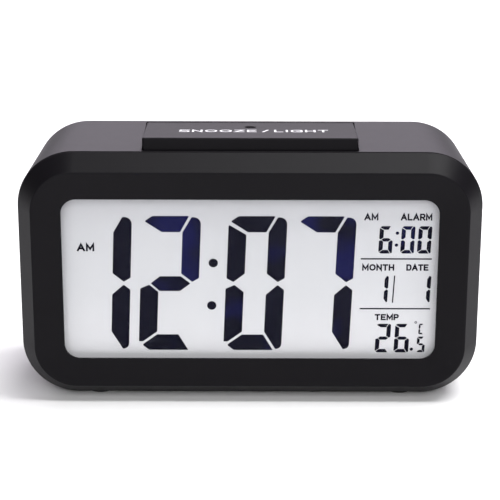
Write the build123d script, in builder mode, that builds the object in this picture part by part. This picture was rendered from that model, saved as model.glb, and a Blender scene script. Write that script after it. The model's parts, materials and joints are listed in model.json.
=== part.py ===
from build123d import *
from math import atan2, cos, sin
import os

# Digital alarm clock with a large liquid crystal display, a hinged snooze bar and a battery bay.
# The display faces -Y, +X is to the right of someone looking at it, and the origin is on the table
# under the middle of the case. Depths are measured back from the front plane, drops down from the
# top of the case. Things on the leaning back are placed in its own frame: u to the right of someone
# looking at the back, v up the slope, w outwards.

# Case
CASE_W, CASE_H = 135.0, 75.2
CASE_D, TOP_D = 45.0, 40.5  # depth along the bottom and along the top
CORNER_R = 16.5
SIDE_LEAN = 0.076  # how much each side leans in, per unit of depth behind the front frame
FOOT_DROP = 0.8  # the feet stand this far below the case
BEVEL_IN, BEVEL_DOWN, BEVEL_BACK = 4.2, 4.45, 6.3  # the outer bevel: sides, top and bottom, depth
WALL, REAR_WALL, REAR_FILLET = 1.8, 2.0, 3.0
GAP = 0.15  # between pieces that are fixed beside each other

# Front frame
RIM = 0.6  # flat edge between the bevel and the funnel
FUNNEL_DEPTH = 2.0
WINDOW_W, WINDOW_H, WINDOW_R = 109.4, 49.6, 4.5
WINDOW_DROP = 0.38  # the window's middle lies this far below the middle of the case
TONGUE, TONGUE_LENGTH = 1.3, 2.0  # the lip that slides into the housing
BAR_NOTCH_W = 67.0  # the lip and the main board stop short of the snooze bar
PLATE_BACK = 3.8  # depth of the frame's inner face
EDGE_R, PARTING_R = 0.25, 0.2

# Display stack: depths of the front and back of each layer, and heights from the case's middle
LENS = (2.6, 3.6)
FRONT_POLARIZER = (3.85, 4.05)
FRONT_GLASS = (4.05, 5.05)
REAR_GLASS = (5.05, 6.05)
REAR_POLARIZER = (6.05, 6.25)
LIGHT_GUIDE = (6.3, 9.15)
REFLECTOR = (9.15, 9.4)
CARRIER = (3.9, 11.0)
CARRIER_FLOOR, CARRIER_WALL, CARRIER_R = 9.4, 1.25, 4.0
LUG_R, LUG_SHIFT = 3.0, 2.5  # screw lugs on the carrier, and how far their webs reach back to it
GLASS_W, GLASS_TOP, GLASS_LOW = 112.4, 26.1, -28.3
REAR_GLASS_LOW = -26.6  # the front glass overhangs the rear one for its contacts
SHEET_R = 1.0
CONTACT_W, CONTACT_H = 102.0, 1.4
LED_W, LED_H, LED_T, LED_PITCH = 3.2, 2.4, 1.4, 14.0
LED_STRIP_W, LED_STRIP_L, LED_STRIP_T = 2.8, 42.0, 0.2
LED_GAP = 2.2  # the light guide stops this far short of the glass at each end
BOARD = (11.2, 12.8)
BOARD_W, BOARD_TOP, BOARD_LOW = 110.0, 32.8, -34.2
BOARD_NOTCH = (17.6, 12.0)  # around each screw boss of the case
STACK_SCREWS = [(-40.0, 30.8), (40.0, 30.8), (-40.0, -32.4), (40.0, -32.4)]

# Parts on the main board
CHIP_X, CHIP_Z, CHIP_R, CHIP_T = 22.0, 14.0, 7.0, 1.9
CRYSTAL_X, CRYSTAL_W, CRYSTAL_L, CRYSTAL_T = 34.0, 3.0, 8.0, 2.6
CAPACITOR_POINTS, CAPACITOR_R, CAPACITOR_L = [(-40.0, 12.0), (-40.0, 20.0)], 2.5, 7.0
RESISTOR_X, RESISTOR_W, RESISTOR_L, RESISTOR_T = 8.0, 1.6, 0.8, 0.5

# Screws
CASE_SCREW_X, CASE_SCREW_Z = 53.0, 32.3
FRONT_BOSS_R = 2.2
CASE_BOSS_R, SCREW_WELL_R, CASE_BOSS_FRONT, WELL_FLOOR = 3.8, 2.3, 14.0, 2.0
SCREW_R, PILOT_R, CLEAR_R = 1.0, 1.05, 1.3
HEAD_R, HEAD_H, CASE_SCREW_LENGTH = 2.0, 1.2, 9.0
CROSS_W, CROSS_DEPTH = 0.45, 0.6
SCREW_POST_R, BOARD_SCREW_LENGTH, BOARD_HEAD_R = 1.8, 4.5, 1.7

# Snooze bar, which tips about a hinge along its back edge
BAR_HALF, SLOT_HALF = 31.15, 31.4
BAR_FRONT, BAR_BACK = 7.4, 36.5
SLOT_FRONT, SLOT_BACK = 7.1, 36.85
BAR_RISE = 3.75  # its front edge stands this far above the case
BAR_SKIN, BAR_SKIRT = 1.6, 4.0
HINGE_DEPTH, HINGE_DROP = 33.4, 4.0
BAR_PIN_R, BAR_BORE_R = 1.1, 1.16
HINGE_KNUCKLE = 1.8  # plastic left under the hinge pins
EAR_IN, EAR_OUT, EAR_L, EAR_BELOW = 32.3, 34.6, 6.0, 2.6
STOP_DEPTH, STOP_W, STOP_L, STOP_T = 12.0, 3.2, 4.0, 1.2
SENSOR_DEPTH, SENSOR_HOLE_R = 27.5, 1.7
SENSOR_BOARD_DROP, SENSOR_BOARD_T = 8.2, 1.2
SENSOR_BOARD_W, SENSOR_BOARD_L, SENSOR_BOARD_DEPTH = 78.0, 15.6, 22.5
LIGHT_SENSOR_R, LIGHT_SENSOR_H = 2.3, 3.4
SNOOZE_DEPTH, SNOOZE_BODY_DROP, SNOOZE_TOP_DROP = 18.0, 4.4, 3.0
SNOOZE_PLUNGER_L, SNOOZE_BORE = 2.9, 2.4
RIB_GAP = 0.08
BOARD_R = 1.5  # corners of all the circuit boards

# Battery bay, in the frame of the back
CELL_R, CELL_L, NUB_R, NUB_L, CELL_PITCH = 5.25, 43.3, 1.9, 1.0, 11.1
BAY_V, BAY_W, BAY_H, BAY_DEPTH, BAY_WALL = -11.0, 50.6, 33.6, 13.0, 1.2
DOOR_W, DOOR_H, DOOR_T, DOOR_GAP = 57.6, 36.6, 2.0, 0.2
DOOR_PIN_R, DOOR_BORE_R, DOOR_PIN_L = 0.6, 0.66, 1.2
LEDGE = 1.6
FINGER_W, FINGER_H, FINGER_R, FINGER_DEPTH = 14.0, 7.0, 3.4, 0.8
GRIP_W, GRIP_H, GRIP_PITCH, GRIP_DROP, GRIP_DEPTH = 12.0, 0.6, 1.4, 6.5, 0.3
CONTACT_SIDE, PLATE_T, LEAD_R, LEAD_OUT = 9.0, 0.3, 0.4, 5.7
WIRE_R, SPRING_R, SPRING_TURNS, SPRING_PLAY = 0.35, 2.8, 3, 0.05

# Controls on the back
KEY_V = 20.0
KEYS = {"set": -24.0, "mode": -8.0, "up": 8.0, "down": 24.0}
KEY_R, KEY_HOLE_R, KEY_RISE, KEY_FLANGE_R = 3.5, 3.65, 0.8, 4.5
KEY_BOTTOM, KEY_FLANGE_TOP = -3.0, -2.05
SWITCH_TOP, SWITCH_SIDE, PLUNGER_R, PLUNGER_GAP, PLUNGER_L = -4.0, 6.0, 1.75, 0.08, 2.2
KEY_BORE = 2.0
KEY_BOARD_FACE, KEY_BOARD_BACK = -7.2, -8.8
KEY_BOARD_W, KEY_BOARD_H = 106.0, 15.0
SLIDERS = {"alarm": -44.0, "light": 44.0}
SLIDER_TRAVEL, KNOB_L, KNOB_H, KNOB_RISE = 3.0, 4.0, 3.0, 0.7
KNOB_BASE_L, KNOB_BASE_H, KNOB_BASE_T = 11.0, 5.4, 0.8
KNOB_GROOVE = 0.35
TOE_L, TOE_H, TOE_DEPTH = 1.6, 1.5, 2.6  # the peg under each knob
SLIDER_FLOOR, FRAME_TOP, FRAME_L, FRAME_H = -2.9, -4.0, 10.0, 5.0
SOUNDER_U, SOUNDER_V, SOUNDER_R = 46.0, -9.0, 11.0
SOUNDER_TOP, SOUNDER_T, CERAMIC_T = -3.6, 0.3, 0.25
SOUNDER_STEP, SOUNDER_RING_LOW = 0.8, -5.0
VENT_U, VENT_V = -46.0, 4.0
SLOT_PITCH, SLOT_W, SOUND_SLOT_L, VENT_SLOT_L = 3.0, 1.3, 13.0, 9.0
THERMISTOR_R, THERMISTOR_H, THERMISTOR_DROP = 1.3, 2.6, 5.5

# Feet
FOOT_X, FOOT_DEPTHS, FOOT_R, FOOT_SINK = 45.0, (11.5, 36.5), 4.4, 0.6

# Derived places
FRONT_Y = -CASE_D / 2
TOP_Z = FOOT_DROP + CASE_H
MID_Z = FOOT_DROP + CASE_H / 2
SLOPE = atan2(CASE_D - TOP_D, CASE_H)
REAR = Plane(
    origin=(0, FRONT_Y + (CASE_D + TOP_D) / 2, MID_Z),
    x_dir=(-1, 0, 0),
    z_dir=(0, cos(SLOPE), sin(SLOPE)),
)
CASE_SCREWS = [(x, z) for x in (-CASE_SCREW_X, CASE_SCREW_X) for z in (-CASE_SCREW_Z, CASE_SCREW_Z)]
KEY_POINTS = [(u, KEY_V) for u in KEYS.values()]
SLIDER_POINTS = [(u, KEY_V) for u in SLIDERS.values()]
KEY_POSTS = [(u, v) for u in (-34.0, 0.0, 34.0) for v in (KEY_V - 6.0, KEY_V + 6.0)]
SENSOR_POSTS = [(x, depth) for x in (-36.5, 36.5) for depth in (17.0, 28.0)]
FEET = [(x, depth) for x in (-FOOT_X, FOOT_X) for depth in FOOT_DEPTHS]
DOOR_HINGE_V = BAY_V - DOOR_H / 2 + DOOR_T / 2
CELL_W = -DOOR_T - 0.3 - CELL_R
CELL_ROWS = [BAY_V + row * CELL_PITCH for row in (-1, 0, 1)]
CELL_ENDS = (1, -1, 1)  # which way each cell's positive end points
LONE_CELLS = ((1, CELL_ROWS[0]), (-1, CELL_ROWS[2]))  # the cell at each end of the string
GUIDE_W = GLASS_W - 2 * LED_GAP


def front(depth):
    """Plane across the case at a depth, facing the viewer, centred on the case."""
    return Plane(origin=(0, FRONT_Y + depth, MID_Z), x_dir=(1, 0, 0), z_dir=(0, -1, 0))


def level(drop):
    """Horizontal plane at a drop, centred over the middle of the front edge."""
    return Plane(origin=(0, FRONT_Y, TOP_Z - drop), x_dir=(1, 0, 0), z_dir=(0, 0, 1))


def side(x):
    """Plane facing +X whose directions are depth and height above the table."""
    return Plane(origin=(x, FRONT_Y, 0), x_dir=(0, 1, 0), z_dir=(1, 0, 0))


def rear_depth(z):
    """Depth of the back's outer face at a height from the middle of the case."""
    return (CASE_D + TOP_D) / 2 - z * (CASE_D - TOP_D) / CASE_H


def shell(depth, inset):
    """Width, height and corner radius of the housing at a depth, this far inside its surface."""
    lean = 2 * SIDE_LEAN * (depth - BEVEL_BACK)
    return CASE_W - lean - 2 * inset, CASE_H - 2 * inset, CORNER_R - inset


def on_back(u, v, w):
    """Point in the frame of the back."""
    return REAR.from_local_coords((u, v, w))


def across_back(u, v, w):
    """Plane facing along the back's u whose directions are v and w."""
    return Plane(origin=on_back(u, v, w), x_dir=REAR.y_dir, z_dir=REAR.x_dir)


def save(piece, label):
    """Names a finished piece and writes its STEP file."""
    piece.label = label
    export_step(piece, f"parts/{label}.step")


def make_sheet(label, span, width, low, high):
    """A flat rounded plate between two depths, such as a pane of the display."""
    with BuildPart() as plate:
        with BuildSketch(front(span[0])):
            with Locations((0, (low + high) / 2)):
                RectangleRounded(width, high - low, SHEET_R)
        extrude(amount=span[0] - span[1])
    save(plate.part, label)


def make_screws(label, plane, points, length, head_r=HEAD_R):
    """Cross-head screws at points of a plane that faces back along them."""
    with BuildPart() as screws:
        with BuildSketch(plane):
            with Locations(*points):
                Circle(head_r)
        extrude(amount=HEAD_H)
        with BuildSketch(plane):
            with Locations(*points):
                Circle(SCREW_R)
        extrude(amount=-length)
        with BuildSketch(plane.offset(HEAD_H)):
            with Locations(*points):
                Rectangle(head_r, CROSS_W)
                Rectangle(CROSS_W, head_r)
        extrude(amount=-CROSS_DEPTH, mode=Mode.SUBTRACT)
    save(screws.part, label)


os.makedirs("parts", exist_ok=True)

# ---------------------------------------------------------------- front frame
with BuildPart() as front_bezel:
    with BuildSketch(front(BEVEL_BACK)):
        RectangleRounded(CASE_W, CASE_H, CORNER_R)
    with BuildSketch(front(0)):
        RectangleRounded(CASE_W - 2 * BEVEL_IN, CASE_H - 2 * BEVEL_DOWN, CORNER_R - BEVEL_IN)
    loft()
    fillet(front_bezel.faces().sort_by(Axis.Y)[-1].edges(), PARTING_R)
    inset = WALL + GAP
    with BuildSketch(front(BEVEL_BACK)):
        RectangleRounded(CASE_W - 2 * inset, CASE_H - 2 * inset, CORNER_R - inset)
    extrude(amount=-TONGUE_LENGTH)
    mouth_w, mouth_h = CASE_W - 2 * (BEVEL_IN + RIM), CASE_H - 2 * (BEVEL_DOWN + RIM)
    with BuildSketch(front(0)):
        RectangleRounded(mouth_w, mouth_h, CORNER_R - BEVEL_IN - RIM)
    with BuildSketch(front(FUNNEL_DEPTH)):
        with Locations((0, -WINDOW_DROP)):
            RectangleRounded(WINDOW_W, WINDOW_H, WINDOW_R)
    loft(mode=Mode.SUBTRACT)
    with BuildSketch(front(0)):
        with Locations((0, -WINDOW_DROP)):
            RectangleRounded(WINDOW_W, WINDOW_H, WINDOW_R)
    extrude(amount=-CASE_D, mode=Mode.SUBTRACT)
    pocket_in = inset + TONGUE
    with BuildSketch(front(PLATE_BACK)):
        RectangleRounded(CASE_W - 2 * pocket_in, CASE_H - 2 * pocket_in, CORNER_R - pocket_in)
    extrude(amount=-CASE_D, mode=Mode.SUBTRACT)
    with BuildSketch(front(LENS[0])):
        RectangleRounded(GLASS_W + 2 * GAP, 2 * (GLASS_TOP + GAP), SHEET_R)
    extrude(amount=-CASE_D, mode=Mode.SUBTRACT)
    with BuildSketch(front(BEVEL_BACK)):
        with Locations((0, CASE_H / 2)):
            Rectangle(BAR_NOTCH_W, 4 * WALL)
    extrude(amount=-2 * TONGUE_LENGTH, mode=Mode.SUBTRACT)
    with BuildSketch(front(PLATE_BACK)):
        with Locations(*CASE_SCREWS):
            Circle(FRONT_BOSS_R)
    extrude(amount=PLATE_BACK - CASE_BOSS_FRONT)
    with BuildSketch(front(PLATE_BACK)):
        with Locations(*STACK_SCREWS):
            Circle(FRONT_BOSS_R)
    extrude(amount=PLATE_BACK - CARRIER_FLOOR)
    with BuildSketch(front(CASE_BOSS_FRONT)):
        with Locations(*CASE_SCREWS):
            Circle(PILOT_R)
    extrude(amount=CASE_SCREW_LENGTH, mode=Mode.SUBTRACT)
    with BuildSketch(front(CARRIER_FLOOR)):
        with Locations(*STACK_SCREWS):
            Circle(PILOT_R)
    extrude(amount=CARRIER_FLOOR - PLATE_BACK, mode=Mode.SUBTRACT)
    fillet(front_bezel.faces().sort_by(Axis.Y)[0].edges(), EDGE_R)
save(front_bezel.part, "front_bezel")

# ---------------------------------------------------------------- display stack
make_sheet("display_lens", LENS, GLASS_W, -GLASS_TOP, GLASS_TOP)
make_sheet("front_polarizer", FRONT_POLARIZER, GLASS_W, REAR_GLASS_LOW, GLASS_TOP)
make_sheet("lcd_front_glass", FRONT_GLASS, GLASS_W, GLASS_LOW, GLASS_TOP)
make_sheet("lcd_rear_glass", REAR_GLASS, GLASS_W, REAR_GLASS_LOW, GLASS_TOP)
make_sheet("rear_polarizer", REAR_POLARIZER, GLASS_W, REAR_GLASS_LOW, GLASS_TOP)
make_sheet("light_guide", LIGHT_GUIDE, GUIDE_W, REAR_GLASS_LOW, GLASS_TOP)
make_sheet("reflector_sheet", REFLECTOR, GUIDE_W, REAR_GLASS_LOW, GLASS_TOP)

LUG_WEBS = [(x, z - LUG_SHIFT if z > 0 else z + LUG_SHIFT) for x, z in STACK_SCREWS]
CONTACT_Z = (GLASS_LOW + REAR_GLASS_LOW) / 2
with BuildPart() as display_carrier:
    middle_z, height = (GLASS_TOP + GLASS_LOW) / 2, GLASS_TOP - GLASS_LOW
    with BuildSketch(front(CARRIER[0])):
        with Locations((0, middle_z)):
            RectangleRounded(GLASS_W + 2 * CARRIER_WALL, height + 2 * CARRIER_WALL, CARRIER_R)
    extrude(amount=CARRIER[0] - CARRIER[1])
    with BuildSketch(front(CARRIER_FLOOR)):
        with Locations(*STACK_SCREWS):
            Circle(LUG_R)
        with Locations(*LUG_WEBS):
            Rectangle(2 * LUG_R, 2 * LUG_R)
    extrude(amount=CARRIER_FLOOR - CARRIER[1])
    with BuildSketch(front(CARRIER[0])):
        with Locations((0, middle_z)):
            RectangleRounded(GLASS_W + 2 * GAP, height + 2 * GAP, SHEET_R)
    extrude(amount=CARRIER[0] - CARRIER_FLOOR, mode=Mode.SUBTRACT)
    with BuildSketch(front(CARRIER_FLOOR)):
        with Locations((0, CONTACT_Z)):
            Rectangle(CONTACT_W + 2.0, CONTACT_H + 2 * GAP)
        with Locations(*STACK_SCREWS):
            Circle(CLEAR_R)
    extrude(amount=-CARRIER[1], mode=Mode.SUBTRACT)
save(display_carrier.part, "display_carrier")

with BuildPart() as contact_strip:
    with BuildSketch(front(FRONT_GLASS[1])):
        with Locations((0, CONTACT_Z)):
            Rectangle(CONTACT_W, CONTACT_H)
    extrude(amount=FRONT_GLASS[1] - BOARD[0])
save(contact_strip.part, "contact_strip")

LED_X = GUIDE_W / 2 + 0.1  # the diodes stand just clear of the light guide's end
with BuildPart() as backlight_leds:
    with BuildSketch(front(LIGHT_GUIDE[0] + 0.3)):
        with Locations((LED_X + LED_T / 2, 0)):
            with GridLocations(1, LED_PITCH, 1, 3):
                Rectangle(LED_T, LED_W)
    extrude(amount=-LED_H)
save(backlight_leds.part, "backlight_leds")

with BuildPart() as led_strip:
    with BuildSketch(front(LIGHT_GUIDE[0])):
        with Locations((LED_X + LED_T + 0.1, 0)):
            Rectangle(LED_STRIP_T, LED_STRIP_L)
    extrude(amount=-LED_STRIP_W)
save(led_strip.part, "led_strip")

# ---------------------------------------------------------------- main board
with BuildPart() as main_board:
    with BuildSketch(front(BOARD[0])):
        with Locations((0, (BOARD_TOP + BOARD_LOW) / 2)):
            RectangleRounded(BOARD_W, BOARD_TOP - BOARD_LOW, BOARD_R)
        with Locations((0, BOARD_TOP)):
            Rectangle(BAR_NOTCH_W, 4.0, mode=Mode.SUBTRACT)
        with Locations(*CASE_SCREWS):
            Rectangle(*BOARD_NOTCH, mode=Mode.SUBTRACT)
        with Locations(*STACK_SCREWS):
            Circle(CLEAR_R, mode=Mode.SUBTRACT)
    extrude(amount=BOARD[0] - BOARD[1])
save(main_board.part, "main_board")

with BuildPart() as main_chip:
    with BuildSketch(front(BOARD[1])):
        with Locations((CHIP_X, CHIP_Z)):
            Circle(CHIP_R)
    extrude(amount=-CHIP_T)
    fillet(main_chip.edges().group_by(Axis.Y)[-1], 1.5)
save(main_chip.part, "main_chip")

with BuildPart() as quartz_crystal:
    with BuildSketch(front(BOARD[1])):
        with Locations((CRYSTAL_X, CHIP_Z)):
            RectangleRounded(CRYSTAL_W, CRYSTAL_L, 0.45 * CRYSTAL_W)
    extrude(amount=-CRYSTAL_T)
save(quartz_crystal.part, "quartz_crystal")

with BuildPart() as capacitors:
    with BuildSketch(front(BOARD[1])):
        with Locations(*CAPACITOR_POINTS):
            Circle(CAPACITOR_R)
    extrude(amount=-CAPACITOR_L)
    fillet(capacitors.edges().group_by(Axis.Y)[-1], 0.4)
save(capacitors.part, "capacitors")

with BuildPart() as chip_resistors:
    with BuildSketch(front(BOARD[1])):
        with Locations((RESISTOR_X, CHIP_Z)):
            with GridLocations(3.0, 3.4, 3, 4):
                Rectangle(RESISTOR_W, RESISTOR_L)
    extrude(amount=-RESISTOR_T)
save(chip_resistors.part, "chip_resistors")

BOARD_REAR = Plane(origin=front(BOARD[1]).origin, x_dir=(1, 0, 0), z_dir=(0, 1, 0))
make_screws(
    "stack_screws", BOARD_REAR, [(x, -z) for x, z in STACK_SCREWS], BOARD[1] - PLATE_BACK - 1.0
)

# ---------------------------------------------------------------- rear housing
with BuildPart() as housing_cavity:
    for depth in (BEVEL_BACK, CASE_D):
        with BuildSketch(front(depth)):
            RectangleRounded(*shell(depth, WALL))
    loft()
    split(bisect_by=REAR.offset(-REAR_WALL), keep=Keep.BOTTOM)

with BuildPart() as rear_housing:
    for depth in (BEVEL_BACK, CASE_D):
        with BuildSketch(front(depth)):
            RectangleRounded(*shell(depth, 0))
    loft()
    split(bisect_by=REAR, keep=Keep.BOTTOM)
    fillet(rear_housing.faces().sort_by(Axis.Y)[-1].edges(), REAR_FILLET)
    fillet(rear_housing.faces().sort_by(Axis.Y)[0].edges(), PARTING_R)
    add(housing_cavity.part, mode=Mode.SUBTRACT)

    # Battery bay, the frame around its door, cradle ribs, wire holes and the finger notch
    with BuildSketch(REAR.offset(-REAR_WALL / 2)):
        with Locations((0, BAY_V)):
            Rectangle(BAY_W + 2 * BAY_WALL, BAY_H + 2 * BAY_WALL)
    extrude(amount=REAR_WALL / 2 - BAY_DEPTH - BAY_WALL)
    with BuildSketch(REAR.offset(-REAR_WALL / 2)):
        with Locations((0, BAY_V)):
            Rectangle(DOOR_W + 4 * LEDGE, DOOR_H + 2 * LEDGE)
    extrude(amount=REAR_WALL / 2 - DOOR_T - DOOR_GAP - LEDGE)
    with BuildSketch(REAR):
        with Locations((0, BAY_V)):
            Rectangle(DOOR_W + 2 * DOOR_GAP, DOOR_H + 2 * DOOR_GAP)
    extrude(amount=-DOOR_T - DOOR_GAP, mode=Mode.SUBTRACT)
    with BuildSketch(REAR):
        with Locations((0, BAY_V)):
            Rectangle(BAY_W, BAY_H)
    extrude(amount=-BAY_DEPTH, mode=Mode.SUBTRACT)
    with BuildSketch(REAR.offset(-BAY_DEPTH - BAY_WALL / 2)):
        with Locations((0, BAY_V)):
            with GridLocations(1, CELL_PITCH, 1, 2):
                Rectangle(BAY_W - 14.0, 0.8)
    extrude(amount=BAY_WALL / 2 + 3.0)
    for end, cell_v in LONE_CELLS:
        with BuildSketch(across_back(end * BAY_W / 2, cell_v, CELL_W)):
            Circle(LEAD_R + 0.3)
        extrude(amount=end * 2 * BAY_WALL, mode=Mode.SUBTRACT)
    with BuildSketch(across_back(0, DOOR_HINGE_V, -DOOR_T / 2)):
        Circle(DOOR_BORE_R)
    extrude(amount=DOOR_W / 2 + DOOR_PIN_L + DOOR_GAP, both=True, mode=Mode.SUBTRACT)
    with BuildSketch(REAR):
        with Locations((0, BAY_V + DOOR_H / 2)):
            RectangleRounded(FINGER_W, FINGER_H, FINGER_R)
    extrude(amount=-FINGER_DEPTH, mode=Mode.SUBTRACT)

    # Screw wells in the four corners
    for x, z in CASE_SCREWS:
        with BuildSketch(front(CASE_BOSS_FRONT)):
            with Locations((x, z)):
                Circle(CASE_BOSS_R)
        extrude(amount=CASE_BOSS_FRONT - rear_depth(z) + REAR_WALL / 2)
    with BuildSketch(front(CASE_BOSS_FRONT + WELL_FLOOR)):
        with Locations(*CASE_SCREWS):
            Circle(SCREW_WELL_R)
    extrude(amount=-CASE_D, mode=Mode.SUBTRACT)
    with BuildSketch(front(CASE_BOSS_FRONT)):
        with Locations(*CASE_SCREWS):
            Circle(CLEAR_R)
    extrude(amount=-WELL_FLOOR, mode=Mode.SUBTRACT)

    # Posts for the key board, with holes for its screws
    with BuildSketch(REAR.offset(-REAR_WALL / 2)):
        with Locations(*KEY_POSTS):
            Circle(SCREW_POST_R)
    extrude(amount=REAR_WALL / 2 + KEY_BOARD_FACE)
    with BuildSketch(REAR.offset(KEY_BOARD_FACE)):
        with Locations(*KEY_POSTS):
            Circle(PILOT_R)
    extrude(amount=BOARD_SCREW_LENGTH, mode=Mode.SUBTRACT)

    # Holes for the keys and the sliders, with a shallow recess around each slider
    with BuildSketch(REAR):
        with Locations(*KEY_POINTS):
            Circle(KEY_HOLE_R)
        with Locations(*SLIDER_POINTS):
            Rectangle(KNOB_L + SLIDER_TRAVEL + 0.4, KNOB_H + 0.3)
    extrude(amount=-REAR_WALL, mode=Mode.SUBTRACT)
    with BuildSketch(REAR):
        with Locations(*SLIDER_POINTS):
            RectangleRounded(12.0, 6.6, 1.5)
    extrude(amount=-0.6, mode=Mode.SUBTRACT)

    # Stepped ring for the sounder, its slots, and the slots over the thermometer
    steps = ((SOUNDER_TOP, SOUNDER_R - SOUNDER_STEP), (SOUNDER_RING_LOW, SOUNDER_R + 0.1))
    for outer_w, inner_r in steps:
        with BuildSketch(REAR.offset(-REAR_WALL / 2)):
            with Locations((SOUNDER_U, SOUNDER_V)):
                Circle(SOUNDER_R + 1.2)
                Circle(inner_r, mode=Mode.SUBTRACT)
        extrude(amount=REAR_WALL / 2 + outer_w)
    with BuildSketch(REAR):
        with Locations((SOUNDER_U, SOUNDER_V)):
            with GridLocations(1, SLOT_PITCH, 1, 5):
                SlotOverall(SOUND_SLOT_L, SLOT_W)
        with Locations((VENT_U, VENT_V)):
            with GridLocations(1, SLOT_PITCH, 1, 3):
                SlotOverall(VENT_SLOT_L, SLOT_W)
    extrude(amount=-REAR_WALL, mode=Mode.SUBTRACT)

    # Slot, hinge ears and board posts for the snooze bar
    with BuildSketch(level(0)):
        with Locations((0, (SLOT_FRONT + SLOT_BACK) / 2)):
            Rectangle(2 * SLOT_HALF, SLOT_BACK - SLOT_FRONT)
    extrude(amount=-2 * WALL, mode=Mode.SUBTRACT)
    with BuildSketch(level(WALL / 2)):
        ear_x = (EAR_IN + EAR_OUT) / 2
        with Locations((-ear_x, HINGE_DEPTH), (ear_x, HINGE_DEPTH)):
            Rectangle(EAR_OUT - EAR_IN, EAR_L)
    extrude(amount=WALL / 2 - HINGE_DROP - EAR_BELOW)
    with BuildSketch(side(0)):
        with Locations((HINGE_DEPTH, TOP_Z - HINGE_DROP)):
            Circle(BAR_BORE_R)
    extrude(amount=EAR_OUT + 1.0, both=True, mode=Mode.SUBTRACT)
    with BuildSketch(level(WALL / 2)):
        with Locations(*SENSOR_POSTS):
            Circle(SCREW_POST_R)
    extrude(amount=WALL / 2 - SENSOR_BOARD_DROP)
    with BuildSketch(level(SENSOR_BOARD_DROP)):
        with Locations(*SENSOR_POSTS):
            Circle(PILOT_R)
    extrude(amount=BOARD_SCREW_LENGTH, mode=Mode.SUBTRACT)

    # Seats for the feet
    with BuildSketch(level(CASE_H)):
        with Locations(*FEET):
            Circle(FOOT_R + 0.1)
    extrude(amount=FOOT_SINK, mode=Mode.SUBTRACT)
save(rear_housing.part, "rear_housing")

WELL_PLANE = Plane(
    origin=front(CASE_BOSS_FRONT + WELL_FLOOR).origin, x_dir=(1, 0, 0), z_dir=(0, 1, 0)
)
make_screws("case_screws", WELL_PLANE, CASE_SCREWS, CASE_SCREW_LENGTH)

with BuildPart() as feet:
    with BuildSketch(level(TOP_Z)):
        with Locations(*FEET):
            Circle(FOOT_R)
    extrude(amount=FOOT_DROP + FOOT_SINK)
    fillet(feet.edges().group_by(Axis.Z)[0], 0.3)
save(feet.part, "feet")

# ---------------------------------------------------------------- snooze bar and what it works
BAR_SLOPE = BAR_RISE / (BAR_BACK - BAR_FRONT)
SENSOR_RISE = BAR_SLOPE * (BAR_BACK - SENSOR_DEPTH)
with BuildPart() as snooze_bar:
    with BuildSketch(side(-BAR_HALF)):
        with BuildLine():
            Polyline(
                (BAR_FRONT, TOP_Z - BAR_SKIRT),
                (BAR_FRONT, TOP_Z + BAR_RISE),
                (BAR_BACK, TOP_Z),
                (BAR_BACK, TOP_Z - HINGE_DROP - HINGE_KNUCKLE),
                (BAR_BACK - 5.5, TOP_Z - HINGE_DROP - HINGE_KNUCKLE),
                (BAR_BACK - 9.0, TOP_Z - BAR_SKIRT),
                close=True,
            )
        make_face()
    extrude(amount=2 * BAR_HALF)
    fillet(snooze_bar.edges().filter_by(Axis.Z).group_by(Axis.Y)[0], 0.7)
    fillet(snooze_bar.faces().sort_by(Axis.Z)[-1].edges(), 0.45)
    with BuildSketch(side(-BAR_HALF + BAR_SKIN)):
        with BuildLine():
            Polyline(
                (BAR_FRONT + BAR_SKIN, TOP_Z - 12.0),
                (BAR_FRONT + BAR_SKIN, TOP_Z + BAR_RISE - BAR_SKIN - 0.2),
                (BAR_BACK - BAR_SKIN, TOP_Z - BAR_SKIN),
                (BAR_BACK - BAR_SKIN, TOP_Z - 12.0),
                close=True,
            )
        make_face()
    extrude(amount=2 * (BAR_HALF - BAR_SKIN), mode=Mode.SUBTRACT)
    # Hinge pins, stop tabs that rest under the case's top, and the rib over the switch
    for x, way in ((-EAR_OUT, 1), (EAR_OUT, -1)):
        with BuildSketch(side(x)):
            with Locations((HINGE_DEPTH, TOP_Z - HINGE_DROP)):
                Circle(BAR_PIN_R)
        extrude(amount=way * (EAR_OUT - BAR_HALF + BAR_SKIN))
    with BuildSketch(level(WALL + 0.02)):
        with Locations((-BAR_HALF - 0.6, STOP_DEPTH), (BAR_HALF + 0.6, STOP_DEPTH)):
            Rectangle(STOP_W, STOP_L)
    extrude(amount=-STOP_T)
    with BuildSketch(level(SNOOZE_TOP_DROP - RIB_GAP)):
        with Locations((0, SNOOZE_DEPTH)):
            Rectangle(8.0, 2.0)
    extrude(amount=SNOOZE_TOP_DROP - RIB_GAP + 1.0)
    with BuildSketch(level(-BAR_RISE)):
        with Locations((0, SENSOR_DEPTH)):
            Circle(SENSOR_HOLE_R)
    extrude(amount=-BAR_RISE - 4.0, mode=Mode.SUBTRACT)
save(snooze_bar.part, "snooze_bar")

with BuildPart() as sensor_lens:
    with BuildSketch(level(1.8)):
        with Locations((0, SENSOR_DEPTH)):
            Circle(SENSOR_HOLE_R - 0.02)
    extrude(amount=1.8 + SENSOR_RISE - 0.5)
    fillet(sensor_lens.edges().group_by(Axis.Z)[-1], 0.7)
save(sensor_lens.part, "sensor_lens")

with BuildPart() as sensor_board:
    with BuildSketch(level(SENSOR_BOARD_DROP)):
        with Locations((0, SENSOR_BOARD_DEPTH)):
            RectangleRounded(SENSOR_BOARD_W, SENSOR_BOARD_L, BOARD_R)
        with Locations(*SENSOR_POSTS):
            Circle(CLEAR_R, mode=Mode.SUBTRACT)
    extrude(amount=-SENSOR_BOARD_T)
save(sensor_board.part, "sensor_board")

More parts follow.
